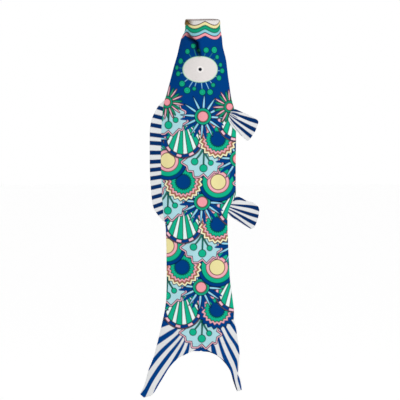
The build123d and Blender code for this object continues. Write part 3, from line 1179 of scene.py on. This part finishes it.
def dorsal_fin():
    """A long fin along the dorsal seam, between its root and its outer edge."""
    levels = np.linspace(DORSAL_OUTER[0][1], DORSAL_OUTER[-1][1], DORSAL_ROWS)
    root = np.stack([outline(levels)[LEFT] + 0.8, levels], axis=1)
    outer = curve(DORSAL_OUTER, DORSAL_ROWS)
    columns = max(24, int(np.linalg.norm(outer - root, axis=1).max() / STEP))
    x, down = np.moveaxis(ruled(root, outer, columns), -1, 0)
    along, across = np.linspace(0, 1, DORSAL_ROWS)[:, None], np.linspace(0, 1, columns)[None]
    y = DORSAL_WAVE * across * np.sin(2 * pi * (1.3 * along + 0.4 * across))
    faces = grid_faces(DORSAL_ROWS, columns, flip=True)
    root_line = np.stack([x[:, 1], y[:, 1], -down[:, 1]], axis=1)
    sewn_fin("dorsal_fin", x, y, down, faces, dorsal_print, root_line)


def fan_fin(name, upper, lower, end, level, stripes):
    """A fin that fans out from its root, between an upper and a lower edge."""
    top, bottom, tip = (curve(line, FAN_GRID) for line in (upper, lower, end))
    spread = np.linspace(0, 1, FAN_GRID)[:, None]
    # rows run outwards from the corner where both edges start, so the last one is the outer end
    swell = tip - (top[-1] * (1 - spread) + bottom[-1] * spread)
    flat = ruled(top, bottom, FAN_GRID) + swell[None] * spread[:, None] ** 3
    x, down = np.moveaxis(flat, -1, 0)
    origin, axis, away = flap_direction(f"{name}_flap", side=1)
    foot = origin - axis * node_size(f"{name}_root_hem")[2]
    root = curve([foot, (foot + origin) / 2, origin], 30) + away * ROOT_HALF_WIDTH
    root[:, 1] = level(root[:, 0], -root[:, 2])
    faces = grid_faces(FAN_GRID, FAN_GRID, flip=True)
    sewn_fin(name, x, level(x, down), down, faces, fan_print(stripes), root)


def pectoral_level(x, down):
    """In front of the trunk, then level with the hinge, and curling a little at its end."""
    plane = hinge("pectoral_fin_flap")[0][1]
    out = np.clip((x - 70) / 75, 0, 1)
    return plane + 0.4 + 2.2 * np.sin(pi * out) * np.sin((down - 235) / 26)


def pelvic_level(x, down):
    out = np.clip((x - 68) / 80, 0, 1)
    return 2.4 * np.sin(pi * out ** 1.3) * np.sin((down - 465) / 24)


dorsal_fin()
fan_fin("pectoral_fin", PECTORAL_UPPER, PECTORAL_LOWER, PECTORAL_END, pectoral_level,
        PECTORAL_STRIPES_AND_FOLD_SHADOW)
fan_fin("pelvic_fin", PELVIC_UPPER, PELVIC_LOWER, PELVIC_END, pelvic_level,
        PELVIC_STRIPES)


# ---- the metal pieces keep their CAD shape ----

for name in ("left_eyelet", "left_eyelet_washer", "right_eyelet", "right_eyelet_washer",
             "hoop_ferrule"):
    frame["nodes"][name].material_slots[0].material = NICKEL
frame["nodes"]["mouth_hoop"].material_slots[0].material = STEEL


# ---- stage, light and camera ----

FLOOR_GAP = 0.35          # from the lowest point of the tail to the floor, in metres
FLOOR_HALF = 12


def plain(name, colour, glow):
    """A matt surface. It glows a little, so that it's as white as the studio behind it."""
    material, nodes, _ = node_tree(name)
    set_inputs(nodes["Principled BSDF"], {
        "Base Color": (*colour, 1),
        "Roughness": 0.9,
        "Emission Color": (1, 1, 1, 1),
        "Emission Strength": glow,
    })
    return material


def stage():
    floor = -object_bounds()[0][2] + FLOOR_GAP
    size = FLOOR_HALF
    mesh = bpy.data.meshes.new("floor")
    corners = [(-size, -size), (size, -size), (size, size), (-size, size)]
    mesh.from_pydata([(x, y, -floor) for x, y in corners], [], [(0, 1, 2, 3)])
    new_object("floor", mesh, plain("floor_white", (0.92, 0.92, 0.92), 0.6))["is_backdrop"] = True


def aim(thing, target):
    direction = Vector(target) - thing.location
    thing.rotation_euler = direction.to_track_quat("-Z", "Y").to_euler()


def area_light(name, place, size, power):
    light = bpy.data.lights.new(name, "AREA")
    light.shape = "SQUARE"
    light.size = size
    light.energy = power
    lamp = add_object(name, light)
    lamp.location = place
    aim(lamp, (0, 0, -0.5))


def studio():
    """White all round at eye level, dimmer above and below, with one soft light."""
    world = bpy.data.worlds.new("studio")
    world.use_nodes = True
    nodes, links = world.node_tree.nodes, world.node_tree.links
    direction = nodes.new("ShaderNodeTexCoord")
    parts = nodes.new("ShaderNodeSeparateXYZ")
    links.new(direction.outputs["Generated"], parts.inputs["Vector"])
    height = math_node(nodes, links, "ABSOLUTE", parts.outputs["Z"])
    glow = nodes.new("ShaderNodeMapRange")
    glow.interpolation_type = "SMOOTHSTEP"
    set_inputs(glow, {"From Min": 0.2, "From Max": 0.55, "To Min": 1, "To Max": 0.3})
    links.new(height, glow.inputs["Value"])
    links.new(glow.outputs["Result"], nodes["Background"].inputs["Strength"])
    set_inputs(nodes["Background"], {"Color": (1, 1, 1, 1)})
    bpy.context.scene.world = world
    area_light("key", (1.9, -2.6, 1.1), 1.0, 36)


VIEW_WIDTH = 1.054        # what the camera sees at the streamer, in metres
VIEW_MIDDLE = (-0.0066, 0, -0.4734)
VIEW_ELEVATION = radians(4.5)
VIEW_DISTANCE = 16.0


def camera():
    data = bpy.data.cameras.new("camera")
    data.sensor_width = 36
    data.lens = data.sensor_width * VIEW_DISTANCE / VIEW_WIDTH
    data.clip_end = 40
    eye_point = add_object("camera", data)
    x, y, z = VIEW_MIDDLE
    back, up = VIEW_DISTANCE * cos(VIEW_ELEVATION), VIEW_DISTANCE * sin(VIEW_ELEVATION)
    eye_point.location = (x, y - back, z + up)
    aim(eye_point, VIEW_MIDDLE)
    bpy.context.scene.camera = eye_point


stage()
studio()
camera()
bpy.context.scene.view_settings.view_transform = "Standard"
